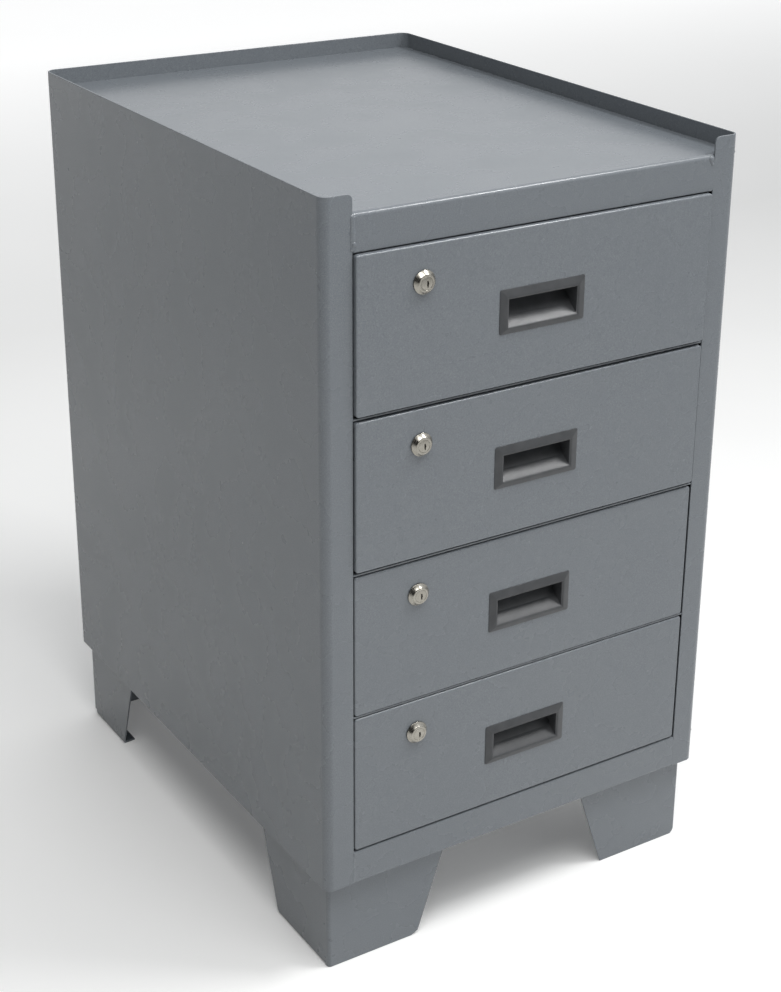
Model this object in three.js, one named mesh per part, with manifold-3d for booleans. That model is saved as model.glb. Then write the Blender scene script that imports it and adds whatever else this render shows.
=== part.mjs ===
// A steel shop cabinet with four locking drawers, a tray top and four folded legs.
// Millimetres, +Z up, +X to the viewer's right, drawers opening towards -Y.
// Inside the root group x = 0 is the middle, y = 0 the front of the stiles, z = 0 the shell's lower edge.
import * as THREE from 'three';
import { mergeVertices } from 'three/addons/utils/BufferGeometryUtils.js';
import Module from 'manifold-3d';

const wasm = await Module();
wasm.setup();

// ---- driving dimensions ----
const shell = {
  width: 469,
  depth: 609.6,
  sheet: 1.9,
  stile: 30,
  rim: 17.3,
  frontBend: 9,
  rearBend: 12,
  stileCorner: 6,
};
const fascia = { height: 36.2, bend: 3 };
const rail = { height: 37.2, bend: 2.5, lip: 9 };
// One entry per drawer, top to bottom: opening height, gap left under the face, and how far
// the shut face stands out from the stiles.
const bays = [
  { pitch: 157.1, gap: 5.3, standOff: 4 },
  { pitch: 155.8, gap: 5.5, standOff: 3 },
  { pitch: 152, gap: 3.6, standOff: 0.5 },
  { pitch: 150.2, gap: 1.9, standOff: 0.5 },
];
const strike = { topGap: 1.2, railGap: 1, setBack: 0.5, depth: 14.5, drop: 7, bend: 0.8 };
const face = { sideGap: 2.25, sheet: 1.5, bend: 2.2, corner: 3, returnDepth: 11 };
const pan = { sheet: 1.2, topDrop: 30, bottomRise: 9, rearGap: 42 };
const slide = {
  width: 12.7,
  height: 45.7,
  sheet: 1.5,
  ballGap: 2,
  webGap: 1,
  frontGap: 2.5,
  edgeGap: 0.3,
  seat: 36,
  rearGap: 45,
};
const bracket = { length: 32, rise: 12, inset: 36 };
const lock = {
  fromLeft: 102.4,
  drop: 35,
  headDiameter: 23,
  headHeight: 5,
  barrelDiameter: 19,
  barrelLength: 20,
  plugDiameter: 12,
  plugGap: 0.2,
  rimHeight: 1.2,
  postDiameter: 7,
  keywayWidth: 1.8,
  keywayHeight: 7,
  keywayDepth: 9,
};
const cam = { reach: 33, width: 15, sheet: 2, corner: 5 };
const pull = {
  width: 97.5,
  height: 43.8,
  drop: 56.9,
  borderSide: 9.5,
  borderTop: 10,
  borderBottom: 7.5,
  proud: 2.2,
  wall: 2,
  depth: 24,
  lipBehind: 5,
  backStep: 4,
  corner: 2,
};
const leg = {
  height: 101,
  sheet: 1.9,
  sideInset: 8,
  endInset: 12,
  bend: 4,
  frontSpread: 140,
  rearSpread: 122,
  taper: 0.335,
  foot: 15,
  clipLength: 8,
  clipHeight: 4,
  cornerClip: 6.5,
  cornerRelief: 8,
};
const fit = 0.3; // gap left between sheets that are welded or seated on each other
const cutGap = 0.5; // gap round a piece that drops into a hole

// ---- sizes that follow from them ----
const half = shell.width / 2;
const stileEdge = half - shell.stile;
const inside = half - shell.sheet;
const bayHeight = bays.reduce((sum, bay) => sum + bay.pitch, 0);
const fasciaBottom = rail.height + bayHeight + strike.topGap;
const trayTop = fasciaBottom + fascia.height;
const shellHeight = trayTop + shell.rim;
const faceWidth = 2 * (stileEdge - face.sideGap);
const slideFront = face.returnDepth + slide.frontGap + 2 * fit;
const slideLength = shell.depth - shell.sheet - slide.rearGap - slideFront;
const slideOuter = stileEdge - slide.edgeGap;
const panHalf = slideOuter - slide.width - fit;
const camBack = lock.barrelLength + fit;
const lockX = lock.fromLeft - half;
const pullOpenTop = -pull.borderTop;
const pullOpenBottom = pull.borderBottom - pull.height;
const pullBodyHalf = pull.width / 2 - pull.borderSide + pull.wall;
const pullBodyLow = pullOpenBottom - pull.wall;
const pullBodyHigh = pullOpenTop + pull.lipBehind + pull.wall;
const panRear = shell.depth - shell.sheet - pan.rearGap;
const frontmost = Math.max(
  ...bays.map((bay) => bay.standOff + fit + Math.max(lock.headHeight, pull.proud)),
);

// ---- finishes ----
const finish = (color, roughness, metalness) =>
  new THREE.MeshStandardMaterial({ color, roughness, metalness });
const enamel = finish(0x747a80, 0.45, 0.1);
const zinc = finish(0xa9acae, 0.4, 0.9);
const chrome = finish(0xd4d2cc, 0.18, 1);
const plastic = finish(0x3c4043, 0.5, 0);

// ---- solids ----
const solidOf = (geometry) => {
  const bare = geometry.index ? geometry.toNonIndexed() : geometry;
  bare.deleteAttribute('normal');
  bare.deleteAttribute('uv');
  const merged = mergeVertices(bare, 1e-4);
  return new wasm.Manifold(
    new wasm.Mesh({
      numProp: 3,
      vertProperties: new Float32Array(merged.attributes.position.array),
      triVerts: new Uint32Array(merged.index.array),
    }),
  );
};

const box = (x, y, z) => {
  const geometry = new THREE.BoxGeometry(x[1] - x[0], y[1] - y[0], z[1] - z[0]);
  geometry.translate((x[0] + x[1]) / 2, (y[0] + y[1]) / 2, (z[0] + z[1]) / 2);
  return solidOf(geometry);
};

// A closed outline swept straight along one axis, from low to high. Across x an outline holds
// (y, z) points, across y it holds (x, z), and across z it holds (x, y).
const turns = {
  x: new THREE.Matrix4().makeBasis(
    new THREE.Vector3(0, 1, 0),
    new THREE.Vector3(0, 0, 1),
    new THREE.Vector3(1, 0, 0),
  ),
  y: new THREE.Matrix4().makeBasis(
    new THREE.Vector3(1, 0, 0),
    new THREE.Vector3(0, 0, 1),
    new THREE.Vector3(0, -1, 0),
  ),
  z: new THREE.Matrix4(),
};
const sweep = (outline, axis, low, high) => {
  const depth = high - low;
  const geometry = new THREE.ExtrudeGeometry(new THREE.Shape(outline), {
    depth,
    bevelEnabled: false,
  });
  geometry.translate(0, 0, axis === 'y' ? -high : low);
  geometry.applyMatrix4(turns[axis]);
  return solidOf(geometry);
};

const point = (x, y) => new THREE.Vector2(x, y);

// Points along a polyline whose inner corners are rounded; radii may be one value or a list.
const rounded = (corners, radii, steps = 6) => {
  const path = [corners[0]];
  for (let i = 1; i < corners.length - 1; i += 1) {
    const corner = corners[i];
    const radius = Array.isArray(radii) ? radii[i - 1] : radii;
    const back = corners[i - 1].clone().sub(corner).normalize();
    const ahead = corners[i + 1].clone().sub(corner).normalize();
    const halfAngle = Math.acos(THREE.MathUtils.clamp(back.dot(ahead), -1, 1)) / 2;
    const middle = back.clone().add(ahead).normalize();
    const centre = corner.clone().addScaledVector(middle, radius / Math.sin(halfAngle));
    const start = corner.clone().addScaledVector(back, radius / Math.tan(halfAngle)).sub(centre);
    const sweepAngle = Math.PI - 2 * halfAngle;
    const side = Math.sign(ahead.cross(back));
    for (let k = 0; k <= steps; k += 1) {
      const spoke = start.clone().rotateAround(point(0, 0), (side * sweepAngle * k) / steps);
      path.push(centre.clone().add(spoke));
    }
  }
  path.push(corners[corners.length - 1]);
  return path;
};

// The outline of bent sheet: outer corners in order, the metal lying on the left of the path.
const bentSheet = (corners, sheet, radii, steps) => {
  const outer = rounded(corners, radii, steps);
  const inner = outer.map((spot, i) => {
    const before = outer[Math.max(i - 1, 0)];
    const after = outer[Math.min(i + 1, outer.length - 1)];
    const into = spot.clone().sub(before).normalize();
    const out = after.clone().sub(spot).normalize();
    if (i === 0) into.copy(out);
    if (i === outer.length - 1) out.copy(into);
    const along = into.clone().add(out).normalize();
    const stretch = sheet / along.dot(into);
    return point(spot.x - along.y * stretch, spot.y + along.x * stretch);
  });
  return [...outer, ...inner.reverse()];
};

// A rectangle with its corners rounded, as an outline.
const plate = (x, y, radius, steps = 4) => {
  const corners = [
    point((x[0] + x[1]) / 2, y[0]),
    point(x[1], y[0]),
    point(x[1], y[1]),
    point(x[0], y[1]),
    point(x[0], y[0]),
    point((x[0] + x[1]) / 2, y[0]),
  ];
  return rounded(corners, radius, steps).slice(0, -1);
};

// A turned piece along y. Its profile of (radius, y) points rises along y, and it starts and
// ends on the axis or closes on itself.
const turned = (profile, segments = 24) => {
  const outline = profile.map(([radius, along]) => point(radius, along));
  return solidOf(new THREE.LatheGeometry(outline, segments));
};

const root = new THREE.Group();
root.name = 'filing_cabinet';
root.position.set(0, (frontmost - shell.depth) / 2, leg.height);

const addMesh = (parent, name, solid, material) => {
  const made = solid.getMesh();
  const geometry = new THREE.BufferGeometry();
  geometry.setAttribute('position', new THREE.BufferAttribute(made.vertProperties, 3));
  geometry.setIndex(new THREE.BufferAttribute(made.triVerts, 1));
  geometry.computeVertexNormals();
  const mesh = new THREE.Mesh(geometry, material);
  mesh.name = name;
  parent.add(mesh);
};

// ---- cabinet ----
// One sheet wrapped round the left side, the back and the right side, with a stile turned in
// at each front edge.
function makeShell() {
  const corners = [
    point(stileEdge, 0),
    point(half, 0),
    point(half, shell.depth),
    point(-half, shell.depth),
    point(-half, 0),
    point(-stileEdge, 0),
  ];
  const bends = [shell.frontBend, shell.rearBend, shell.rearBend, shell.frontBend];
  let body = sweep(bentSheet(corners, shell.sheet, bends, 8), 'z', 0, shellHeight);
  for (const side of [-1, 1]) {
    const corner = point(side * stileEdge, shellHeight);
    const along = point(side * (stileEdge + 2 * shell.stileCorner), shellHeight);
    const below = point(side * stileEdge, shellHeight - 2 * shell.stileCorner);
    const arc = rounded([along, corner, below], shell.stileCorner).slice(1, -1);
    body = body.subtract(sweep([corner, ...arc], 'y', -1, shell.sheet + 1));
  }
  addMesh(root, 'cabinet_shell', body, enamel);
}

// Tray floor between the shell's walls, folded down at the front as a fascia between the
// stiles, then back and down again as the strike for the top drawer's lock.
function makeTray() {
  const strikeFace = strike.depth - shell.sheet;
  const section = bentSheet(
    [
      point(shell.stile, trayTop),
      point(0, trayTop),
      point(0, fasciaBottom),
      point(strikeFace, fasciaBottom),
      point(strikeFace, fasciaBottom - strike.topGap - strike.drop),
    ],
    shell.sheet,
    [fascia.bend, fascia.bend, strike.bend],
  );
  const width = stileEdge - fit;
  const body = sweep(section, 'x', -width, width).add(floorPlate(trayTop));
  addMesh(root, 'top_tray', body, enamel);
}

// A horizontal sheet that fills the shell from wall to wall behind the stiles.
function floorPlate(top) {
  const across = [-inside + fit, inside - fit];
  const back = [shell.sheet + fit, shell.depth - shell.sheet - fit];
  const corner = shell.rearBend - shell.sheet - fit;
  return sweep(plate(across, back, corner), 'z', top - shell.sheet, top);
}

// Cabinet floor, folded down at the front as the bottom rail with a lip turned back.
function makeFloor() {
  const section = bentSheet(
    [
      point(shell.stile, rail.height),
      point(0, rail.height),
      point(0, 0),
      point(rail.lip, 0),
    ],
    shell.sheet,
    rail.bend,
  );
  const width = stileEdge - fit;
  const body = sweep(section, 'x', -width, width).add(floorPlate(rail.height));
  addMesh(root, 'bottom_pan', body, enamel);
}

// An angle between two drawers: its web fills the gap and its flange is the lock's strike.
function makeDivider(name, faceTop) {
  const top = faceTop + strike.railGap + shell.sheet;
  const section = bentSheet(
    [
      point(strike.depth, faceTop - strike.drop),
      point(strike.depth, top),
      point(strike.setBack, top),
    ],
    shell.sheet,
    shell.sheet + strike.bend,
  );
  const width = stileEdge - fit;
  addMesh(root, name, sweep(section, 'x', -width, width), enamel);
}

// ---- legs ----
// An angle with tapering faces, tucked up under the floor, with a foot turned in at the
// bottom. u runs inwards from the leg's outer side, v inwards from its outer end.
function makeLeg(name, side, atFront, spreads, clipped) {
  const top = rail.height - shell.sheet - fit;
  const outer = half - leg.sideInset;
  const place = (u, v) => {
    const y = leg.endInset + v;
    return point(side * (outer - u), atFront ? y : shell.depth - y);
  };
  const placeAll = (outline) => outline.map((spot) => place(spot.x, spot.y));
  const plan = bentSheet(
    [point(0, spreads.side), point(0, 0), point(spreads.end, 0)],
    leg.sheet,
    leg.bend,
  );
  const silhouette = (spread) => {
    const clipHeight = clipped ? leg.clipHeight : 0;
    const clipLength = clipped ? leg.clipLength : 0;
    const low = spread - leg.taper * (leg.height - clipHeight);
    return [
      point(-1, top + 1),
      point(spread, top + 1),
      point(spread, 0),
      point(low, clipHeight - leg.height),
      point(low - clipLength, -leg.height),
      point(-1, -leg.height),
    ];
  };
  const across = silhouette(spreads.end).map((spot) => point(place(spot.x, 0).x, spot.y));
  const along = silhouette(spreads.side).map((spot) => point(place(0, spot.x).y, spot.y));
  const endRange = [place(0, -1).y, place(0, leg.bend).y].sort((a, b) => a - b);
  const sideRange = [place(-1, 0).x, place(leg.bend, 0).x].sort((a, b) => a - b);
  const mask = sweep(across, 'y', ...endRange).add(sweep(along, 'x', ...sideRange));
  let body = sweep(placeAll(plan), 'z', -leg.height, top).intersect(mask);

  const footEnd = along[4].y === -leg.height ? along[4].x : along[3].x;
  const footStart = place(0, leg.cornerRelief).y;
  const footX = [place(leg.sheet / 2, 0).x, place(leg.foot, 0).x].sort((a, b) => a - b);
  const footY = [footStart, footEnd].sort((a, b) => a - b);
  body = body.add(box(footX, footY, [-leg.height, leg.sheet - leg.height]));
  if (!clipped) {
    const wedge = [
      point(-1, leg.cornerClip + 1 - leg.height),
      point(leg.cornerClip + 1, -leg.height - 1),
      point(-1, -leg.height - 1),
    ].map((spot) => point(place(spot.x, 0).x, spot.y));
    const reach = [place(0, -1).y, place(0, leg.cornerRelief - fit).y].sort((a, b) => a - b);
    body = body.subtract(sweep(wedge, 'y', ...reach));
  }
  addMesh(root, name, body, enamel);
}

// ---- drawer slides ----
// A channel section lying along y: its web stands at x = web and its lips reach to x = open.
function channel(web, open, height, front, length) {
  const top = point(open, height / 2);
  const bottom = point(open, -height / 2);
  const webTop = point(web, height / 2);
  const webBottom = point(web, -height / 2);
  const turnsLeft = web > open;
  const corners = turnsLeft
    ? [bottom, webBottom, webTop, top]
    : [top, webTop, webBottom, bottom];
  const section = bentSheet(corners, slide.sheet, slide.sheet, 3);
  return sweep(section, 'y', front, front + length);
}

const memberHeight = (step) => slide.height - 2 * step * (slide.sheet + slide.ballGap);
const lipReach = slide.width * 0.62;

// The outer member with the two brackets that carry it off the shell's wall.
function cabinetMember(side) {
  const web = side * slideOuter;
  const open = side * (slideOuter - lipReach);
  let body = channel(web, open, memberHeight(0), slideFront, slideLength);
  const rise = [bracket.rise, -bracket.rise];
  const tab = side * (slideOuter - slide.sheet / 2);
  const wall = side * (inside - fit);
  const corners = [
    point(tab, rise[0]),
    point(tab, rise[1]),
    point(wall, rise[1]),
    point(wall, rise[0]),
  ];
  const path = side > 0 ? corners : corners.reverse();
  const section = bentSheet(path, shell.sheet, shell.sheet, 3);
  const rearStart = slideFront + slideLength - bracket.inset - bracket.length;
  for (const start of [slideFront + bracket.inset, rearStart]) {
    body = body.add(sweep(section, 'y', start, start + bracket.length));
  }
  return body;
}

function middleMember(side) {
  const web = slideOuter - slide.sheet - slide.webGap;
  const open = web - lipReach;
  return channel(side * web, side * open, memberHeight(1), slideFront, slideLength);
}

function drawerMember(side) {
  const web = panHalf + fit;
  const open = slideOuter - 2 * (slide.sheet + slide.webGap);
  return channel(side * web, side * open, memberHeight(2), slideFront, slideLength);
}

// ---- drawers ----
// Every drawer is drawn with y = 0 at the front of its face and z = 0 at the face's lower edge.

// The face: sheet folded back along all four edges, cut for the pull and the lock.
function makeFront(height) {
  const w = faceWidth / 2;
  const block = (inset, back) => {
    const bend = Math.max(face.bend - inset, 0.3);
    const top = height - inset;
    const side = w - inset;
    const upright = [
      point(back, inset),
      point(inset, inset),
      point(inset, top),
      point(back, top),
    ];
    const level = [
      point(side, back),
      point(side, inset),
      point(-side, inset),
      point(-side, back),
    ];
    const fromSide = sweep(rounded(upright, bend, 4), 'x', -w, w);
    return fromSide.intersect(sweep(rounded(level, bend, 4), 'z', 0, height));
  };
  let body = block(0, face.returnDepth).subtract(block(face.sheet, face.returnDepth + 1));
  const outline = plate([-w, w], [0, height], face.corner);
  body = body.intersect(sweep(outline, 'y', -1, face.returnDepth + 1));
  const hole = lock.barrelDiameter / 2 + cutGap;
  const lockHole = turned([
    [0, -1],
    [hole, -1],
    [hole, face.sheet + 1],
    [0, face.sheet + 1],
  ]).translate([lockX, 0, height - lock.drop]);
  const opening = box(
    [-pullBodyHalf - cutGap, pullBodyHalf + cutGap],
    [-1, face.sheet + 1],
    [pullBodyLow - cutGap, pullBodyHigh + cutGap].map((z) => z + height - pull.drop),
  );
  return body.subtract(lockHole).subtract(opening);
}

// The drawer's box: floor, two sides and a back, closed at the front by the face.
function makePan(height) {
  const front = face.sheet + fit;
  const low = pan.bottomRise;
  const high = height - pan.topDrop;
  const outer = box([-panHalf, panHalf], [front, panRear], [low, high]);
  const inner = box(
    [pan.sheet - panHalf, panHalf - pan.sheet],
    [front - 1, panRear - pan.sheet],
    [low + pan.sheet, high + 1],
  );
  return outer.subtract(inner);
}

// The pull, drawn with z = 0 at the top of its frame: a flat frame on the face round a pocket
// whose floor slopes up to the back and whose roof rises behind the frame for the fingertips.
function makePull() {
  const halfWidth = pull.width / 2;
  const outline = plate([-halfWidth, halfWidth], [-pull.height, 0], pull.corner);
  const frame = sweep(outline, 'y', -pull.proud - fit, -fit);
  const shelf = pullOpenTop - pull.backStep;
  const outside = [
    point(-fit - pull.wall / 2, pullBodyLow),
    point(pull.wall, pullBodyLow),
    point(pull.depth, shelf - pull.wall),
    point(pull.depth, pullBodyHigh),
    point(-fit - pull.wall / 2, pullBodyHigh),
  ];
  const pocket = [
    point(-pull.proud - 1, pullOpenBottom),
    point(pull.wall, pullOpenBottom),
    point(pull.depth - pull.wall, shelf),
    point(pull.depth - pull.wall, pullBodyHigh - pull.wall),
    point(pull.wall, pullBodyHigh - pull.wall),
    point(pull.wall, pullOpenTop),
    point(-pull.proud - 1, pullOpenTop),
  ];
  const hollow = pullBodyHalf - pull.wall;
  return sweep(outside, 'x', -pullBodyHalf, pullBodyHalf)
    .add(frame)
    .subtract(sweep(pocket, 'x', -hollow, hollow));
}

// The lock, drawn round the y axis with y = 0 at the front of the face.
function makeLockBody() {
  const head = lock.headDiameter / 2;
  const barrel = lock.barrelDiameter / 2;
  const bore = lock.plugDiameter / 2 + lock.plugGap;
  const domeHeight = lock.headHeight - lock.rimHeight;
  const dome = [];
  for (let k = 0; k <= 5; k += 1) {
    const angle = (Math.PI / 2) * (k / 5);
    const radius = bore + 1 + (head - bore - 1) * Math.sin(angle);
    dome.push([radius, -fit - lock.rimHeight - domeHeight * Math.cos(angle)]);
  }
  return turned([
    [bore, -fit - lock.headHeight],
    ...dome,
    [head, -fit],
    [barrel, -fit],
    [barrel, lock.barrelLength],
    [bore, lock.barrelLength],
    [bore, -fit - lock.headHeight],
  ]);
}

function makeLockPlug() {
  const radius = lock.plugDiameter / 2;
  const post = lock.postDiameter / 2;
  const front = -lock.headHeight;
  const body = turned([
    [0, front],
    [radius, front],
    [radius, lock.barrelLength],
    [post, lock.barrelLength],
    [post, camBack + cam.sheet + 1],
    [0, camBack + cam.sheet + 1],
  ]);
  const keyway = box(
    [-lock.keywayWidth / 2, lock.keywayWidth / 2],
    [front - 1, front + lock.keywayDepth],
    [-lock.keywayHeight / 2, lock.keywayHeight / 2],
  );
  return body.subtract(keyway);
}

function makeCam() {
  const wide = cam.width / 2;
  const outline = plate([-wide, cam.reach], [-wide, wide], cam.corner);
  const hole = lock.postDiameter / 2 + fit;
  const bore = turned([
    [0, camBack - 1],
    [hole, camBack - 1],
    [hole, camBack + cam.sheet + 1],
    [0, camBack + cam.sheet + 1],
  ]);
  return sweep(outline, 'y', camBack, camBack + cam.sheet).subtract(bore);
}

function makeDrawer(number, bay, faceTop) {
  const name = `drawer_${number}`;
  const height = bay.pitch - bay.gap;
  const drawer = new THREE.Group();
  drawer.position.set(0, -bay.standOff, faceTop - height);
  root.add(drawer);
  addMesh(drawer, `${name}_front`, makeFront(height), enamel);
  addMesh(drawer, `${name}_pan`, makePan(height), enamel);

  const handle = new THREE.Group();
  handle.position.z = height - pull.drop;
  drawer.add(handle);
  addMesh(handle, `${name}_pull`, makePull(), plastic);

  const lockSet = new THREE.Group();
  lockSet.position.set(lockX, 0, height - lock.drop);
  drawer.add(lockSet);
  addMesh(lockSet, `${name}_lock_body`, makeLockBody(), chrome);
  addMesh(lockSet, `${name}_lock_plug`, makeLockPlug(), chrome);
  addMesh(lockSet, `${name}_lock_cam`, makeCam(), zinc);

  const runners = new THREE.Group();
  runners.position.z = pan.bottomRise + slide.seat;
  drawer.add(runners);
  const fixed = new THREE.Group();
  fixed.position.z = faceTop - height + pan.bottomRise + slide.seat;
  root.add(fixed);
  for (const [word, side] of [['left', -1], ['right', 1]]) {
    addMesh(fixed, `${name}_slide_outer_${word}`, cabinetMember(side), zinc);
    addMesh(runners, `${name}_slide_middle_${word}`, middleMember(side), zinc);
    addMesh(runners, `${name}_slide_inner_${word}`, drawerMember(side), zinc);
  }
}

makeShell();
makeTray();
makeFloor();
const frontSpreads = { side: leg.frontSpread, end: leg.frontSpread };
const rearSpreads = { side: leg.rearSpread, end: leg.frontSpread };
makeLeg('leg_front_left', -1, true, frontSpreads, true);
makeLeg('leg_front_right', 1, true, frontSpreads, false);
makeLeg('leg_rear_left', -1, false, rearSpreads, false);
makeLeg('leg_rear_right', 1, false, rearSpreads, true);

let faceTop = fasciaBottom - strike.topGap;
bays.forEach((bay, index) => {
  if (index > 0) makeDivider(`divider_rail_${index}`, faceTop);
  makeDrawer(index + 1, bay, faceTop);
  faceTop -= bay.pitch;
});

export default root;
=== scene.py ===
import math

import bmesh
import bpy
from mathutils import Matrix, Vector, noise


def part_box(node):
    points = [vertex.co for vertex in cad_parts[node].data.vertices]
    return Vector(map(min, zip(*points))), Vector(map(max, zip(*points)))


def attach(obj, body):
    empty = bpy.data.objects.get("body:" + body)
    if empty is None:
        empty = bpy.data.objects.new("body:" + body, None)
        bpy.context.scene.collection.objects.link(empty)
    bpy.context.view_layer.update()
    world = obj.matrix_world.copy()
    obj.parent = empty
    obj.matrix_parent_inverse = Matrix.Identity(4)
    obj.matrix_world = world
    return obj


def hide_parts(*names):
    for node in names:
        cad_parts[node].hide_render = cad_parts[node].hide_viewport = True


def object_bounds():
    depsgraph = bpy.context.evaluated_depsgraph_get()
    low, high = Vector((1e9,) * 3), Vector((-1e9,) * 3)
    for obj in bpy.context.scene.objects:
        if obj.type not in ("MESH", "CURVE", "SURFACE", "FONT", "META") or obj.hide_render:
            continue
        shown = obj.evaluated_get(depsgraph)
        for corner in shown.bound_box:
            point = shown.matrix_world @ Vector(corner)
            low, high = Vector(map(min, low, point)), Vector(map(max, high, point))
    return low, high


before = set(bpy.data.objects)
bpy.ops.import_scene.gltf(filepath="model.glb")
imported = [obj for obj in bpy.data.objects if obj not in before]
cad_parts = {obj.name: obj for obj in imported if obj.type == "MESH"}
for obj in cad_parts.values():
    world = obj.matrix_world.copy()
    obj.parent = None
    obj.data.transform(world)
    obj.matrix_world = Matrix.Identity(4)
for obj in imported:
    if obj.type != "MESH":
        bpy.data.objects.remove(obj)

# A grey welded shop cabinet: four locking drawers, a tray top and four folded legs.
# Every helper takes millimetres from a zero point, which is given in metres.

mm = 0.001
joinWithin = 0.004   # points nearer to each other than this become one
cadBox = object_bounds()
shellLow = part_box("cabinet_shell")[0]
cabinetZero = Vector((0, shellLow.y, shellLow.z))   # middle of the stiles' front, at the shell's lower edge
sides = (("left", -1), ("right", 1))


def measured(node, zero=cabinetZero):   # a node's box in millimetres from a zero point
    low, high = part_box(node)
    return (low - zero) / mm, (high - zero) / mm


# shapes

def pathThrough(corners, radii, steps=10):
    # a flat polyline whose inner corners are turned into arcs
    corners = [Vector(corner) for corner in corners]
    path = [corners[0]]
    for i in range(1, len(corners) - 1):
        radius = radii[i - 1] if isinstance(radii, (list, tuple)) else radii
        corner = corners[i]
        back = (corners[i - 1] - corner).normalized()
        ahead = (corners[i + 1] - corner).normalized()
        halfAngle = back.angle(ahead) / 2
        centre = corner + (back + ahead).normalized() * (radius / math.sin(halfAngle))
        spoke = corner + back * (radius / math.tan(halfAngle)) - centre
        turn = math.pi - 2 * halfAngle
        if ahead.x * back.y - ahead.y * back.x < 0:
            turn = -turn
        for k in range(steps + 1):
            path.append(centre + Matrix.Rotation(turn * k / steps, 2) @ spoke)
    path.append(corners[-1])
    return path


def besidePath(path, distance):
    # the same path moved to its left
    moved = []
    for i, spot in enumerate(path):
        before = path[max(i - 1, 0)]
        after = path[min(i + 1, len(path) - 1)]
        into = (spot - before).normalized() if i else (after - spot).normalized()
        out = (after - spot).normalized() if i < len(path) - 1 else into
        along = (into + out).normalized()
        stretch = distance / along.dot(into)
        moved.append(Vector((spot.x - along.y * stretch, spot.y + along.x * stretch)))
    return moved


def bentOutline(corners, sheet, radii, steps=10):
    # the cross-section of bent sheet, the metal lying on the left of the path
    outer = pathThrough(corners, radii, steps)
    return outer + besidePath(outer, sheet)[::-1]


def lift(axis, spot, along):
    # a flat point raised into space: across x it holds y and z, across y x and z, across z x and y
    if axis == "x":
        return (along, spot[0], spot[1])
    if axis == "y":
        return (spot[0], along, spot[1])
    return (spot[0], spot[1], along)


def strip(rowA, rowB, closed=False):
    # quads between two rows of points
    count = len(rowA)
    last = count if closed else count - 1
    return [[rowA[i], rowA[(i + 1) % count], rowB[(i + 1) % count], rowB[i]] for i in range(last)]


def swept(outline, axis, low, high):
    # a closed solid from an outline swept straight along an axis
    rowA = [lift(axis, spot, low) for spot in outline]
    rowB = [lift(axis, spot, high) for spot in outline]
    return [rowA, rowB] + strip(rowA, rowB, closed=True)


def ringOf(x, z, radius, steps=6):
    # a rectangle with round corners, always with the same number of points
    spots = []
    for cornerX, cornerZ, start in ((x[1], z[0], -90), (x[1], z[1], 0), (x[0], z[1], 90), (x[0], z[0], 180)):
        centreX = cornerX - math.copysign(radius, cornerX - sum(x) / 2)
        centreZ = cornerZ - math.copysign(radius, cornerZ - sum(z) / 2)
        for k in range(steps + 1):
            angle = math.radians(start + 90 * k / steps)
            spots.append((centreX + radius * math.cos(angle), centreZ + radius * math.sin(angle)))
    return spots


def turned(profile, centre=(0, 0), segments=48):
    # a piece turned round the y direction from (radius, y) points
    polygons = []
    for i in range(segments):
        a = 2 * math.pi * i / segments
        b = 2 * math.pi * (i + 1) / segments
        for (r0, y0), (r1, y1) in zip(profile, profile[1:]):
            polygons.append([
                (centre[0] + radius * math.cos(angle), y, centre[1] + radius * math.sin(angle))
                for radius, y, angle in ((r0, y0, a), (r1, y1, a), (r1, y1, b), (r0, y0, b))
            ])
    return polygons


def arcProfile(centre, radius, start, stop, steps=6):
    # (radius, y) points of a round edge
    return [
        (centre[0] + radius * math.cos(math.radians(start + (stop - start) * k / steps)),
         centre[1] + radius * math.sin(math.radians(start + (stop - start) * k / steps)))
        for k in range(steps + 1)
    ]


def flatWithHoles(outline, holes, y=0, toward=-1):
    # fills an (x, z) outline across y, leaving its holes open
    work = bmesh.new()
    for loop in [outline] + holes:
        verts = [work.verts.new((x, y, z)) for x, z in loop]
        for i, vert in enumerate(verts):
            work.edges.new((vert, verts[(i + 1) % len(verts)]))
    bmesh.ops.triangle_fill(
        work, use_beauty=True, use_dissolve=False, edges=work.edges, normal=(0, toward, 0))
    polygons = [[tuple(vert.co) for vert in face.verts] for face in work.faces]
    work.free()
    return polygons


# mesh making

def newPiece(name, polygons, zero=cabinetZero, facing=None):
    # polygons are lists of points; points that meet are joined
    points = [zero + Vector(spot) * mm for polygon in polygons for spot in polygon]
    faces = []
    start = 0
    for polygon in polygons:
        faces.append(list(range(start, start + len(polygon))))
        start += len(polygon)
    mesh = bpy.data.meshes.new(name)
    mesh.from_pydata(points, [], faces)
    work = bmesh.new()
    work.from_mesh(mesh)
    bmesh.ops.remove_doubles(work, verts=work.verts, dist=joinWithin * mm)
    bmesh.ops.dissolve_degenerate(work, edges=work.edges, dist=joinWithin / 2 * mm)
    bmesh.ops.recalc_face_normals(work, faces=work.faces)
    if facing:
        widest = max(work.faces, key=lambda face: face.calc_area())
        if widest.normal.dot(Vector(facing)) < 0:
            bmesh.ops.reverse_faces(work, faces=work.faces)
    work.to_mesh(mesh)
    work.free()
    piece = bpy.data.objects.new(name, mesh)
    bpy.context.scene.collection.objects.link(piece)
    return piece


def faceOut(piece, spot, outward, zero=cabinetZero):
    # turns an open sheet so that its face nearest to a spot looks outward
    target = zero + Vector(spot) * mm
    nearest = min(piece.data.polygons, key=lambda face: (face.center - target).length)
    if nearest.normal.dot(Vector(outward)) < 0:
        piece.data.flip_normals()


def settle(piece):
    # makes the modifiers' result the piece's own mesh
    view = bpy.context.evaluated_depsgraph_get()
    made = bpy.data.meshes.new_from_object(
        piece.evaluated_get(view), preserve_all_data_layers=True, depsgraph=view)
    piece.modifiers.clear()
    old = piece.data
    piece.data = made
    bpy.data.meshes.remove(old)
    made.name = piece.name


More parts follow.
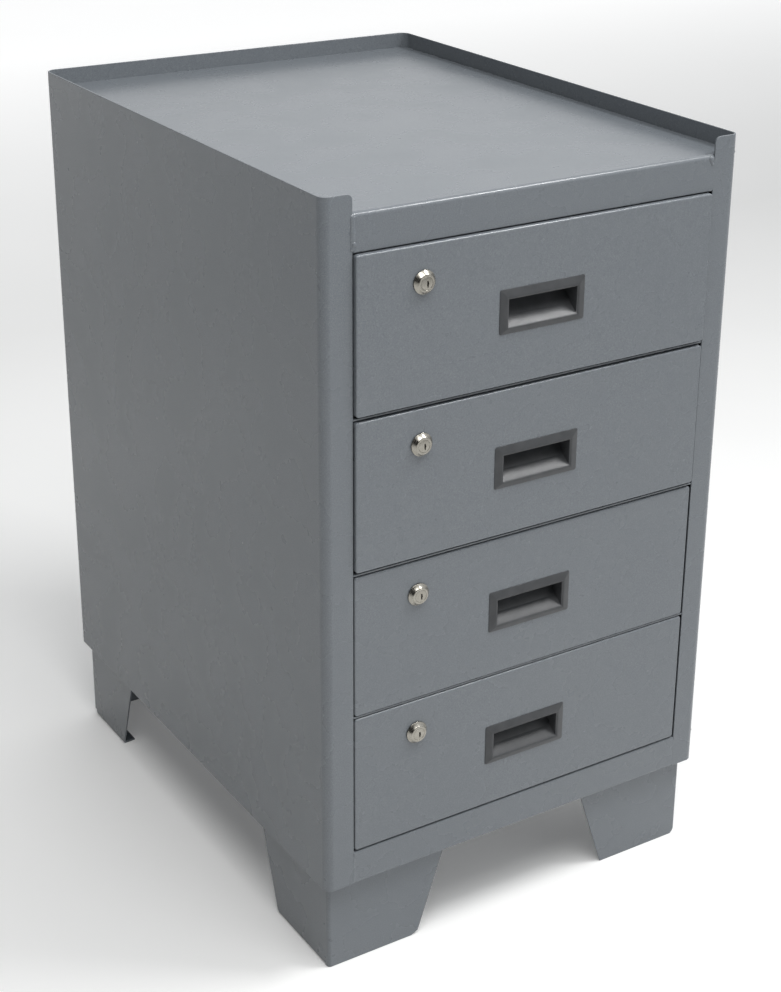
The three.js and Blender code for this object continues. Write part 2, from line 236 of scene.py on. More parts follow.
def dress(piece, material, sheet=0, edge=0.3, angle=40, segments=2, cutters=(), soften=True):
    # thickens sheet inwards, cuts, rounds the sharp edges and shades the flats flat
    if sheet:
        thick = piece.modifiers.new("thick", "SOLIDIFY")
        thick.thickness = sheet * mm
        thick.offset = -1
        thick.use_even_offset = True
    for cutter in cutters:
        cut = piece.modifiers.new("cut", "BOOLEAN")
        cut.operation = "DIFFERENCE"
        cut.solver = "EXACT"
        cut.object = cutter
    if edge:
        bevel = piece.modifiers.new("edge", "BEVEL")
        bevel.width = edge * mm
        bevel.segments = segments
        bevel.limit_method = "ANGLE"
        bevel.angle_limit = math.radians(angle)
        bevel.use_clamp_overlap = True
    if soften:
        piece.modifiers.new("shade", "WEIGHTED_NORMAL").keep_sharp = True
    piece.data.polygons.foreach_set("use_smooth", [True] * len(piece.data.polygons))
    settle(piece)
    for cutter in cutters:
        bpy.data.objects.remove(cutter)
    piece.data.polygons.foreach_set("use_smooth", [True] * len(piece.data.polygons))
    piece.data.materials.clear()
    piece.data.materials.append(material)


def sharpen(piece, degrees):
    piece.data.set_sharp_from_angle(angle=math.radians(degrees))


def place(piece, body, slot, *nodes):
    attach(piece, body)
    if nodes:
        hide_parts(*nodes)


# finishes

def newFinish(name, roughness, metallic=0.0):
    finish = bpy.data.materials.new(name)
    finish.use_nodes = True
    nodes = finish.node_tree.nodes
    shader = nodes["Principled BSDF"]
    shader.inputs["Roughness"].default_value = roughness
    shader.inputs["Metallic"].default_value = metallic
    spots = nodes.new("ShaderNodeTexCoord")
    return finish, shader, spots.outputs["Object"]


def grain(finish, spots, size, detail=3.0, stretch=None):
    # a noise whose spots are about size millimetres wide
    nodes = finish.node_tree.nodes
    links = finish.node_tree.links
    if stretch:
        mapping = nodes.new("ShaderNodeMapping")
        mapping.inputs["Scale"].default_value = stretch
        links.new(spots, mapping.inputs["Vector"])
        spots = mapping.outputs["Vector"]
    texture = nodes.new("ShaderNodeTexNoise")
    texture.inputs["Scale"].default_value = 1 / (size * mm)
    texture.inputs["Detail"].default_value = detail
    links.new(spots, texture.inputs["Vector"])
    return texture.outputs["Fac"]


def spread(finish, source, low, high, start=0.3, stop=0.7):
    # maps a texture's value onto a range
    ranged = finish.node_tree.nodes.new("ShaderNodeMapRange")
    ranged.inputs["From Min"].default_value = start
    ranged.inputs["From Max"].default_value = stop
    ranged.inputs["To Min"].default_value = low
    ranged.inputs["To Max"].default_value = high
    finish.node_tree.links.new(source, ranged.inputs["Value"])
    return ranged.outputs["Result"]


def blendColours(finish, factor, colourA, colourB):
    # either colour may be a plain colour or another node's output
    mix = finish.node_tree.nodes.new("ShaderNodeMix")
    mix.data_type = "RGBA"
    finish.node_tree.links.new(factor, mix.inputs["Factor"])
    for socket, colour in ((mix.inputs[6], colourA), (mix.inputs[7], colourB)):
        if isinstance(colour, bpy.types.NodeSocket):
            finish.node_tree.links.new(colour, socket)
        else:
            socket.default_value = (*colour, 1)
    return mix.outputs[2]


def bump(finish, shader, height, depth):
    # raises the surface by about depth millimetres where height is 1
    node = finish.node_tree.nodes.new("ShaderNodeBump")
    node.inputs["Distance"].default_value = depth * mm
    finish.node_tree.links.new(height, node.inputs["Height"])
    finish.node_tree.links.new(node.outputs["Normal"], shader.inputs["Normal"])


enamelLook = {
    "colour": (0.133, 0.147, 0.162),
    "dark": (0.127, 0.141, 0.157),
    "light": (0.146, 0.160, 0.173),
    "speckDark": (0.098, 0.108, 0.122),
    "speckLight": (0.180, 0.196, 0.202),
    "dust": (0.24, 0.25, 0.25),
    "roughness": (0.25, 0.30),
    "glossSize": 60,
    "patchSize": 170,   # the sizes of the finish's spots, in millimetres
    "mottleSize": 9,
    "speckSize": 1.1,
    "dustSize": 0.9,
    "peelSize": 1.7,   # the orange peel of sprayed paint
    "peelDepth": 0.03,
}


def enamelFinish(name, look):
    finish, shader, spots = newFinish(name, sum(look["roughness"]) / 2)
    patches = grain(finish, spots, look["patchSize"], 4)
    mottle = grain(finish, spots, look["mottleSize"], 5)
    specks = grain(finish, spots, look["speckSize"], 2)
    tone = blendColours(finish, spread(finish, patches, 0, 1), look["dark"], look["colour"])
    tone = blendColours(finish, spread(finish, mottle, 0, 0.3), tone, look["light"])
    tone = blendColours(finish, spread(finish, specks, 0, 0.8, 0.54, 0.74), tone, look["speckLight"])
    tone = blendColours(finish, spread(finish, specks, 0.8, 0, 0.26, 0.46), tone, look["speckDark"])
    dust = grain(finish, spots, look["dustSize"], 1)
    tone = blendColours(finish, spread(finish, dust, 0, 0.55, 0.74, 0.80), tone, look["dust"])
    finish.node_tree.links.new(tone, shader.inputs["Base Color"])
    rough = spread(finish, grain(finish, spots, look["glossSize"], 4), *look["roughness"])
    finish.node_tree.links.new(rough, shader.inputs["Roughness"])
    bump(finish, shader, grain(finish, spots, look["peelSize"], 2), look["peelDepth"])
    return finish


zincLook = {
    "light": (0.52, 0.53, 0.54),
    "dark": (0.38, 0.39, 0.41),
    "roughness": (0.26, 0.42),
    "cloudSize": 14,
    "drawSize": 3,   # lines drawn along the slide
    "drawDepth": 0.02,
}


def zincFinish(name, look):
    finish, shader, spots = newFinish(name, 0.34, 1.0)
    clouds = grain(finish, spots, look["cloudSize"], 4)
    drawn = grain(finish, spots, look["drawSize"], 3, stretch=(1, 0.03, 1))   # lines along the slide
    tone = blendColours(finish, spread(finish, clouds, 0, 1), look["dark"], look["light"])
    tone = blendColours(finish, spread(finish, drawn, 0, 0.5), tone, look["light"])
    finish.node_tree.links.new(tone, shader.inputs["Base Color"])
    finish.node_tree.links.new(spread(finish, drawn, *look["roughness"]), shader.inputs["Roughness"])
    bump(finish, shader, drawn, look["drawDepth"])
    return finish


platingLook = {
    "colour": (0.34, 0.325, 0.29),
    "worn": (0.26, 0.245, 0.21),
    "roughness": (0.20, 0.32),
    "cloudSize": 4,
    "cloudDepth": 0.015,
    "hairSize": 0.6,
}


def platingFinish(name, look):
    finish, shader, spots = newFinish(name, 0.16, 1.0)
    clouds = grain(finish, spots, look["cloudSize"], 4)
    hairs = grain(finish, spots, look["hairSize"], 4)
    tone = blendColours(finish, spread(finish, clouds, 0, 0.6), look["colour"], look["worn"])
    finish.node_tree.links.new(tone, shader.inputs["Base Color"])
    finish.node_tree.links.new(spread(finish, hairs, *look["roughness"]), shader.inputs["Roughness"])
    bump(finish, shader, clouds, look["cloudDepth"])
    return finish


plasticLook = {
    "colour": (0.040, 0.042, 0.045),
    "light": (0.056, 0.058, 0.061),
    "roughness": (0.28, 0.40),
    "gloss": 0.30,
    "cloudSize": 12,
    "grainSize": 0.8,
    "grainDepth": 0.02,
}


def plasticFinish(name, look):
    finish, shader, spots = newFinish(name, 0.36)
    shader.inputs["Specular IOR Level"].default_value = look["gloss"]
    clouds = grain(finish, spots, look["cloudSize"], 3)
    pores = grain(finish, spots, look["grainSize"], 2)
    tone = blendColours(finish, spread(finish, clouds, 0, 1), look["colour"], look["light"])
    finish.node_tree.links.new(tone, shader.inputs["Base Color"])
    finish.node_tree.links.new(spread(finish, pores, *look["roughness"]), shader.inputs["Roughness"])
    bump(finish, shader, pores, look["grainDepth"])
    return finish


enamel = enamelFinish("grey enamel", enamelLook)
zinc = zincFinish("zinc plate", zincLook)
plating = platingFinish("nickel plate", platingLook)
plastic = plasticFinish("moulded plastic", plasticLook)
print("finishes made")


# camera, floor and lights

cameraView = {
    "place": (-0.99639, -1.63442, 1.23215),
    "azimuth": 33.0,
    "down": 21.93,   # degrees
    "roll": 0.73,
    "lens": 67.89,
    "shift": (-0.0317, -0.0845),
}


def makeCamera(view):
    azimuth = math.radians(view["azimuth"])
    down = math.radians(view["down"])
    ahead = Vector((
        math.sin(azimuth) * math.cos(down), math.cos(azimuth) * math.cos(down), -math.sin(down)))
    right = Vector((math.cos(azimuth), -math.sin(azimuth), 0))
    up = right.cross(ahead)
    turn = Matrix((right, up, -ahead)).transposed() @ Matrix.Rotation(math.radians(view["roll"]), 3, "Z")
    lens = bpy.data.cameras.new("camera")
    lens.lens = view["lens"]
    lens.sensor_width = 36
    lens.shift_x, lens.shift_y = view["shift"]
    lens.clip_end = 50
    camera = bpy.data.objects.new("camera", lens)
    camera.matrix_world = Matrix.Translation(view["place"]) @ turn.to_4x4()
    bpy.context.scene.collection.objects.link(camera)
    bpy.context.scene.camera = camera


studio = {
    "floorSize": 40.0,
    "floorColour": (0.86, 0.86, 0.85),
    "floorGlow": (0.12, 0.55),   # near the cabinet and far behind it
    "glowEdges": (1.7, 4.2),   # metres behind the middle where the glow starts and stops growing
    "skyLeft": 0.02,   # the room's brightness on either side
    "skyRight": 0.97,
    "skyEdges": (-0.25, 0.45),
    "keyPlace": (-0.62, -1.15, 2.9),
    "keyLight": 57,
    "keySize": 1.9,   # a disc's width
    "stripPlace": (1.22, -0.99, 2.6),
    "stripLight": 31,
    "stripSize": (0.8, 0.22),   # a rectangle's sides
    "lampAim": (0, -0.3, 0.6),
}


def makeLamp(name, spot, aim, power, size):
    # size is a disc's width, or a rectangle's two sides
    light = bpy.data.lights.new(name, "AREA")
    light.energy = power
    if isinstance(size, tuple):
        light.shape = "RECTANGLE"
        light.size, light.size_y = size
    else:
        light.shape = "DISK"
        light.size = size
    lamp = bpy.data.objects.new(name, light)
    lamp.location = spot
    lamp.rotation_euler = (Vector(aim) - Vector(spot)).to_track_quat("-Z", "Y").to_euler()
    bpy.context.scene.collection.objects.link(lamp)


def makeStudio(look):
    finish, shader, spots = newFinish("floor paper", 0.7)
    tone = spread(finish, grain(finish, spots, 400, 3), 0, 1)
    pale = [value * 1.02 for value in look["floorColour"]]
    tone = blendColours(finish, tone, look["floorColour"], pale)
    finish.node_tree.links.new(tone, shader.inputs["Base Color"])
    shader.inputs["Emission Color"].default_value = (1, 1, 1, 1)
    apart = finish.node_tree.nodes.new("ShaderNodeSeparateXYZ")   # the paper is lit up behind the cabinet
    finish.node_tree.links.new(spots, apart.inputs[0])
    glow = spread(finish, apart.outputs["Y"], *look["floorGlow"], *look["glowEdges"])
    finish.node_tree.links.new(glow, shader.inputs["Emission Strength"])
    reach = look["floorSize"] / 2 / mm
    ground = Vector((0, 0, cadBox[0][2] - 0.0002))
    outline = [(-reach, -reach, 0), (reach, -reach, 0), (reach, reach, 0), (-reach, reach, 0)]
    floor = newPiece("floor", [outline], ground, facing=(0, 0, 1))
    floor.data.materials.append(finish)

    world = bpy.data.worlds.new("studio")
    bpy.context.scene.world = world
    world.use_nodes = True
    nodes = world.node_tree.nodes
    links = world.node_tree.links
    sky = nodes["Background"]
    sky.inputs["Color"].default_value = (0.97, 0.985, 1.0, 1)
    toward = nodes.new("ShaderNodeTexCoord")
    parts = nodes.new("ShaderNodeSeparateXYZ")
    ranged = nodes.new("ShaderNodeMapRange")   # the studio is darker on the cabinet's left
    ranged.interpolation_type = "SMOOTHSTEP"
    ranged.inputs["From Min"].default_value, ranged.inputs["From Max"].default_value = look["skyEdges"]
    ranged.inputs["To Min"].default_value = look["skyLeft"]
    ranged.inputs["To Max"].default_value = look["skyRight"]
    links.new(toward.outputs["Generated"], parts.inputs[0])
    links.new(parts.outputs["X"], ranged.inputs["Value"])
    links.new(ranged.outputs["Result"], sky.inputs["Strength"])
    makeLamp("key", look["keyPlace"], look["lampAim"], look["keyLight"], look["keySize"])
    makeLamp("strip", look["stripPlace"], look["lampAim"], look["stripLight"], look["stripSize"])


makeCamera(cameraView)
makeStudio(studio)
bpy.context.scene.view_settings.view_transform = "Standard"
print("camera and studio ready")


# cabinet

cabinetLook = {
    "sheet": 1.9,
    "stile": 30,   # the width of each front edge
    "stileExtra": 1.1,   # more width for the left one
    "frontBend": 9,
    "rearBend": 12,
    "stileCorner": 6,   # the round at the top of each stile
    "bendSteps": 16,
    "edge": 0.45,
    "fit": 0.3,   # clearance between welded sheets
    "fasciaBend": 4.2,   # the tray's front edge
    "fasciaFold": 1.0,   # the fold under the fascia
    "railBend": 2.5,
    "railLip": 9,   # turned back under the bottom rail
    "topGap": 1.2,   # between the fascia and the top drawer
    "strikeDepth": 12.6,   # how far back the lock's strike hangs
    "strikeBend": 0.8,
}
cabinetHigh = measured("cabinet_shell")[1]
halfWidth = cabinetHigh.x
depth = cabinetHigh.y
shellTop = cabinetHigh.z
stileEdge = halfWidth - cabinetLook["stile"]
leftStileEdge = stileEdge - cabinetLook["stileExtra"]   # the left stile is a little wider
inside = halfWidth - cabinetLook["sheet"]
leftEnd = cabinetLook["fit"] - leftStileEdge
rightEnd = stileEdge - cabinetLook["fit"]
trayTop = measured("top_tray")[1].z
fasciaBottom = measured("drawer_1_front")[1].z + cabinetLook["topGap"]
strikeBottom = measured("top_tray")[0].z
railTop = measured("bottom_pan")[1].z


def makeShell(look):
    # one sheet wrapped round the sides and the back, with a stile turned in at each front edge
    plan = pathThrough(
        [(stileEdge, 0), (halfWidth, 0), (halfWidth, depth),
         (-halfWidth, depth), (-halfWidth, 0), (-leftStileEdge, 0)],
        [look["frontBend"], look["rearBend"], look["rearBend"], look["frontBend"]], look["bendSteps"])
    low = [lift("z", spot, 0) for spot in plan]
    high = [lift("z", spot, shellTop) for spot in plan]
    polygons = strip(low[1:-1], high[1:-1])
    for end, inner in ((0, 1), (-1, -2)):
        edge = plan[end].x
        toward = math.copysign(1, plan[inner].x - edge)
        radius = look["stileCorner"]
        corner = [(edge + toward * radius * (1 - math.cos(a)), 0, shellTop - radius * (1 - math.sin(a)))
                  for a in [math.pi / 2 * k / 10 for k in range(11)]]
        polygons.append([low[end], low[inner], high[inner]] + corner[::-1])
    piece = newPiece("shell", polygons)
    faceOut(piece, Vector((-halfWidth, depth / 2, shellTop / 2)), (-1, 0, 0))
    dress(piece, enamel, look["sheet"], look["edge"])
    place(piece, "cabinet", "enamel", "cabinet_shell")


def floorPlan(top, front):
    # the flat of a shelf: narrow between the stiles, wall to wall behind them
    wide = inside - cabinetLook["fit"]
    notch = cabinetLook["sheet"] + 0.5
    rear = depth - cabinetLook["sheet"] - cabinetLook["fit"]
    radius = cabinetLook["rearBend"] - cabinetLook["sheet"] - cabinetLook["fit"]
    corner = [(wide - radius * (1 - math.cos(a)), rear - radius * (1 - math.sin(a)))
              for a in [math.pi / 2 * k / 8 for k in range(9)]]
    outline = [(rightEnd, front), (rightEnd + 0.3, notch), (wide, notch)] + corner
    outline += [(-x, y) for x, y in corner[::-1]] + [(-wide, notch), (leftEnd - 0.3, notch), (leftEnd, front)]
    return [(x, y, top) for x, y in outline]


def makeShelf(name, node, section, bends, top, look):
    # section is a path of (y, z) points that runs on from the shelf's flat over its front edge
    path = pathThrough(section, bends, 10)
    rows = [[(leftEnd, spot.x, spot.y), (rightEnd, spot.x, spot.y)] for spot in path[1:]]
    polygons = [floorPlan(top, path[1].x)]
    for rowA, rowB in zip(rows, rows[1:]):
        polygons += strip(rowA, rowB)
    piece = newPiece(name, polygons, facing=(0, 0, 1))
    dress(piece, enamel, look["sheet"], look["edge"])
    place(piece, "cabinet", "enamel", node)


def makeTray(look):
    section = [(look["stile"], trayTop), (0, trayTop), (0, fasciaBottom),
               (look["strikeDepth"], fasciaBottom), (look["strikeDepth"], strikeBottom)]
    bends = [look["fasciaBend"], look["fasciaFold"], look["strikeBend"]]
    makeShelf("tray", "top_tray", section, bends, trayTop, look)


def makeBottom(look):
    section = [(look["stile"], railTop), (0, railTop), (0, 0), (look["railLip"], 0)]
    makeShelf("bottom", "bottom_pan", section, look["railBend"], railTop, look)


def makeDivider(number, look):
    # an angle whose upright flange is the strike for the lock below it
    low, high = measured(f"divider_rail_{number}")
    outline = bentOutline([(high.y, low.z), (high.y, high.z), (low.y, high.z)], look["sheet"],
                           look["sheet"] + look["strikeBend"], 8)
    piece = newPiece(f"divider_{number}", swept(outline, "x", leftEnd, rightEnd))
    dress(piece, enamel, 0, look["edge"])
    place(piece, "cabinet", "enamel", f"divider_rail_{number}")


makeShell(cabinetLook)
makeTray(cabinetLook)
makeBottom(cabinetLook)
for number in (1, 2, 3):
    makeDivider(number, cabinetLook)
print("cabinet made")


# legs

legLook = {
    "sheet": 1.9,
    "bend": 4,
    "frontSpread": 140,   # widths at the shoulder
    "rearSpread": 122,
    "taper": 0.335,   # sideways run of the inner edge for each millimetre of height
    "foot": 15,
    "footBend": 3,
    "clipLength": 8,   # the cut at the toe of a clipped leg
    "clipHeight": 4,
    "cornerClip": 6.5,   # the cut at the corner of the others
    "cornerRelief": 8,
    "edge": 0.5,
}


def makeLeg(where, side, atFront, clipped, look):
    # u runs inwards from the leg's outer side, v inwards from its outer end
    node = f"leg_{where}"
    low, high = measured(node)
    outer = max(abs(low.x), abs(high.x))
    floorAt = low.z
    top = high.z
    end = low.y if atFront else high.y
    bend = look["bend"]
    clipHeight = look["clipHeight"] if clipped else 0
    clipLength = look["clipLength"] if clipped else 0
    cornerClip = 0 if clipped else look["cornerClip"]

    def spot(u, v, z):
        return (side * (outer - u), end + (v if atFront else -v), floorAt + z)

    tall = top - floorAt
    shoulder = -floorAt

    def edgeOf(spread):   # the slanted inner edge, from the shoulder down
        foot = spread - look["taper"] * (shoulder - clipHeight)
        return [(spread, tall), (spread, shoulder), (foot, clipHeight)], foot - clipLength

    turns = [math.pi / 2 * k / 12 for k in range(13)]
    bendSpots = [(bend * (1 - math.sin(a)), bend * (1 - math.cos(a))) for a in turns]
    bottomOf = [max(0, cornerClip - u) for u, v in bendSpots]
    polygons = []

    # the plate across the front or the back
    face, tip = edgeOf(look["frontSpread"])
    outline = [(bend, tall)] + face
    if clipHeight:
        outline.append((tip, 0))
    if cornerClip:
        outline.append((cornerClip, 0))
    outline.append((bend, bottomOf[0]))
    polygons.append([spot(u, 0, z) for u, z in outline])

    # the round corner
    rowLow = [spot(u, v, z) for (u, v), z in zip(bendSpots, bottomOf)]
    rowHigh = [spot(u, v, tall) for u, v in bendSpots]
    polygons += strip(rowLow, rowHigh)

    # the plate along the side, with a relief notch where the foot's fold begins
    face, tip = edgeOf(look["frontSpread"] if atFront else look["rearSpread"])
    radius = look["footBend"]
    relief = look["cornerRelief"]
    slack = 1.2
    foldEnd = tip + (look["taper"] * radius if not clipHeight else clipLength * radius / clipHeight)
    outline = [(bend, tall)] + face + [(foldEnd, radius)]
    outline += [(relief, radius), (relief - slack * 0.3, radius + slack), (relief - slack, radius)]
    outline += [(relief - slack, bottomOf[-1]), (bend, bottomOf[-1])]
    if foldEnd >= face[-1][0] - 0.01 and not clipHeight:
        outline.remove(face[-1])
    polygons.append([spot(0, v, z) for v, z in outline])

    # the foot, folded in from the side plate
    rows = []
    for a in turns:
        share = a / (math.pi / 2)
        u = radius * (1 - math.cos(a))
        z = radius * (1 - math.sin(a))
        rows.append([spot(u, relief, z), spot(u, foldEnd + (tip - foldEnd) * share, z)])
    for rowA, rowB in zip(rows, rows[1:]):
        polygons += strip(rowA, rowB)
    polygons.append(rows[-1] + [spot(look["foot"], tip - 1, 0), spot(look["foot"], relief + 1, 0)])

    piece = newPiece(node, polygons)
    faceOut(piece, spot(0, 60, 60), (side, 0, 0))
    piece.name = where.replace("_", "") + "Leg"
    dress(piece, enamel, look["sheet"], look["edge"])
    place(piece, "cabinet", "enamel", node)


makeLeg("front_left", -1, True, True, legLook)
makeLeg("front_right", 1, True, False, legLook)
makeLeg("rear_left", -1, False, False, legLook)
makeLeg("rear_right", 1, False, True, legLook)
print("legs made")


# drawers

frontLook = {
    "sheet": 1.5,
    "topBend": 2.1,
    "sideBend": 1.4,
    "bottomBend": 0.9,
    "corner": 3,
    "bendSteps": 8,
    "edge": 0.3,
    "cutGap": 0.5,   # round the holes
    "pullCut": (41.25, -38.3, -3),   # half width, then lower and upper edge from the pull's top
    "lockHole": 9.5,
}


def makeFront(number, zero, height, pullTop, lockSpot, look):
    # a flat with round edges turned back all round, and holes for the pull and the lock
    low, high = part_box(f"drawer_{number}_front")
    wide = high.x / mm
    back = (high.y - low.y) / mm
    steps = 6
    toSide = [k / steps for k in range(steps + 1)]
    # how far each point of the outline belongs to the bottom, the sides and the top
    shares = [(1 - k, k, 0) for k in toSide] + [(0, 1 - k, k) for k in toSide]
    shares += [(0, k, 1 - k) for k in toSide] + [(k, 1 - k, 0) for k in toSide]
    bends = (look["bottomBend"], look["sideBend"], look["topBend"])
    rings = []
    for k in range(look["bendSteps"] + 1):
        a = math.pi / 2 * k / look["bendSteps"]
        lowIn, sideIn, topIn = [bend * (1 - math.sin(a)) for bend in bends]
        ring = ringOf((sideIn - wide, wide - sideIn), (lowIn, height - topIn), look["corner"] - sideIn, steps)
        depths = [sum(share * bend for share, bend in zip(mix, bends)) * (1 - math.cos(a)) for mix in shares]
        rings.append([(x, y, z) for (x, z), y in zip(ring, depths)])
    rings.append([(x, back, z) for x, y, z in rings[-1]])
    polygons = []
    for rowA, rowB in zip(rings, rings[1:]):
        polygons += strip(rowA, rowB, closed=True)
    half, cutLow, cutHigh = look["pullCut"]
    gap = look["cutGap"]
    pullHole = ringOf((-half - gap, half + gap), (pullTop + cutLow - gap, pullTop + cutHigh + gap), 0.6, 3)
    turns = [2 * math.pi * k / 40 for k in range(40)]
    reach = look["lockHole"] + gap
    lockHole = [(lockSpot[0] + reach * math.cos(a), lockSpot[1] + reach * math.sin(a)) for a in turns]
    polygons += flatWithHoles([(x, z) for x, y, z in rings[0]], [pullHole, lockHole])
    piece = newPiece(f"drawer{number}Face", polygons, zero)
    faceOut(piece, (wide / 2, 0, height / 4), (0, -1, 0), zero)
    dress(piece, enamel, look["sheet"], look["edge"])
    place(piece, f"drawer_{number}", "enamel", f"drawer_{number}_front")


panLook = {
    "sheet": 1.2,
    "floorBend": 2.4,
    "hem": 8,
    "hemBend": 1.2,
    "edge": 0.25,
}


def makePan(number, zero, look):
    node = f"drawer_{number}_pan"
    low, high = measured(node, zero)
    sheet = look["sheet"]
    hem = look["hem"]
    hemBend = look["hemBend"]
    wide = high.x
    # side, floor and side in one section, with the top edges folded in and down as hems
    hemBack = sheet * 2 + 0.1
    outline = pathThrough(
        [(wide - hemBack, high.z - hem), (wide - hemBack, high.z), (wide, high.z), (wide, low.z),
         (-wide, low.z), (-wide, high.z), (hemBack - wide, high.z), (hemBack - wide, high.z - hem)],
        [hemBend, hemBend, look["floorBend"], look["floorBend"], hemBend, hemBend], 6)
    inner = pathThrough(
        [(-wide + sheet, high.z - hem), (-wide + sheet, low.z + sheet), (wide - sheet, low.z + sheet),
         (wide - sheet, high.z - hem)], look["floorBend"] - sheet, 6)
    front = low.y
    rear = high.y
    polygons = swept(outline + inner, "y", front, rear)
    piece = newPiece(f"drawer{number}Pan", polygons, zero)
    dress(piece, enamel, 0, look["edge"])
    place(piece, f"drawer_{number}", "enamel", node)
    # the back, folded over at the top and welded in between the sides
    inset = wide - hemBack - 0.2
    backPath = bentOutline(
        [(rear - 8, high.z - 1), (rear - 0.2, high.z - 1), (rear - 0.2, low.z + sheet + 0.2)], -sheet, 1.6, 6)
    back = newPiece(f"drawer{number}Back", swept(backPath, "x", -inset, inset), zero)
    dress(back, enamel, 0, look["edge"])
    place(back, f"drawer_{number}", "enamel")


pullLook = {
    "corner": 2,
    "wallRise": 0.3,   # the upright edge of the frame
    "ridgeIn": (6.0, 6.4, 4.6),   # from the sides, the top and the bottom
    "ridgeOut": (7.9, 8.4, 6.0),
    "opening": (9.5, 10, 7.5),
    "lipFront": 1.1,   # the frame's inner edge stands this proud
    "lipBack": 1.6,   # how far back the upper lip goes
    "pocketDepth": 22,
    "scoopRun": 10,   # the shallow part of the pocket's floor
    "scoopRise": 7.6,
    "shelfDrop": 14,   # where the steep part ends, below the top
    "roofRise": 5,
    "wall": 2,
    "edge": 0.35,
}


def makePull(number, zero, look):
    # a sloping frame round a pocket that the fingertips reach up into
    node = f"drawer_{number}_pull"
    low, high = measured(node, zero)
    wide = high.x
    top = high.z
    bottom = low.z
    front = low.y
    seat = -cabinetLook["fit"]
    polygons = []

    def frameRing(inset, y, radius):
        sideIn, topIn, bottomIn = inset
        ring = ringOf((sideIn - wide, wide - sideIn), (bottom + bottomIn, top - topIn), radius)
        return [(x, y, z) for x, z in ring]

    half = wide - look["opening"][0]
    openTop = top - look["opening"][1]
    openLow = bottom + look["opening"][2]
    rings = [
        frameRing((0, 0, 0), seat, look["corner"]),
        frameRing((0.15, 0.15, 0.15), seat - look["wallRise"], look["corner"] - 0.15),
        frameRing(look["ridgeIn"], front, 0.8),
        frameRing(look["ridgeOut"], front, 0.4),
        frameRing(look["opening"], seat - look["lipFront"], 0),
    ]
    for rowA, rowB in zip(rings, rings[1:]):
        polygons += strip(rowA, rowB, closed=True)

    # the pocket: its floor slopes gently at the front and steeply behind
    shelf = openTop - (look["shelfDrop"] - look["opening"][1])
    mouth = seat - look["lipFront"]
    fold = (mouth + look["scoopRun"], openLow + look["scoopRise"])
    scoop = pathThrough([(mouth, openLow), fold, (look["pocketDepth"], shelf)], 4, 6)
    roof = top - look["roofRise"]
    pocket = scoop + [(look["pocketDepth"], roof), (look["lipBack"], roof), (look["lipBack"], openTop),
                      (mouth, openTop)]
    rowLeft = [(-half, y, z) for y, z in pocket]
    rowRight = [(half, y, z) for y, z in pocket]
    polygons += strip(rowLeft, rowRight)
    polygons += [rowLeft, rowRight]

    # the outside of the pocket, behind the drawer's face
    wall = look["wall"]
    back = look["pocketDepth"] + wall
    outside = [(seat, openLow - wall), (wall, openLow - wall), (fold[0] + 1.4, fold[1] - wall),
               (back, shelf - wall - 1), (back, roof + wall), (seat, roof + wall)]
    span = half + wall
    rowLeft = [(-span, y, z) for y, z in outside]
    rowRight = [(span, y, z) for y, z in outside]
    polygons += strip(rowLeft, rowRight)
    polygons += [rowLeft, rowRight]
    pocketBack = [(-span, openLow - wall), (span, openLow - wall), (span, roof + wall), (-span, roof + wall)]
    polygons += flatWithHoles([(x, z) for x, y, z in rings[0]], [pocketBack], seat, 1)
    piece = newPiece(f"drawer{number}Pull", polygons, zero)
    dress(piece, plastic, 0, look["edge"], angle=28, segments=3)
    place(piece, f"drawer_{number}", "pull_plastic", node)


lockLook = {
    "rim": 0.9,   # the thin outer edge of the head
    "topRadius": 8.7,   # the head's flat face
    "round": 1.0,
    "keyway": (1.5, 6),
    "keywayOff": (0.9, -0.9),
    "keywayDepth": 6,
    "barrel": 9.4,
    "bore": 6.2,
    "plug": 6.1,
    "post": 3.5,
    "nut": 11.6,   # from the middle to a flat
    "nutFaces": (1.9, 6.4),   # behind the face
}


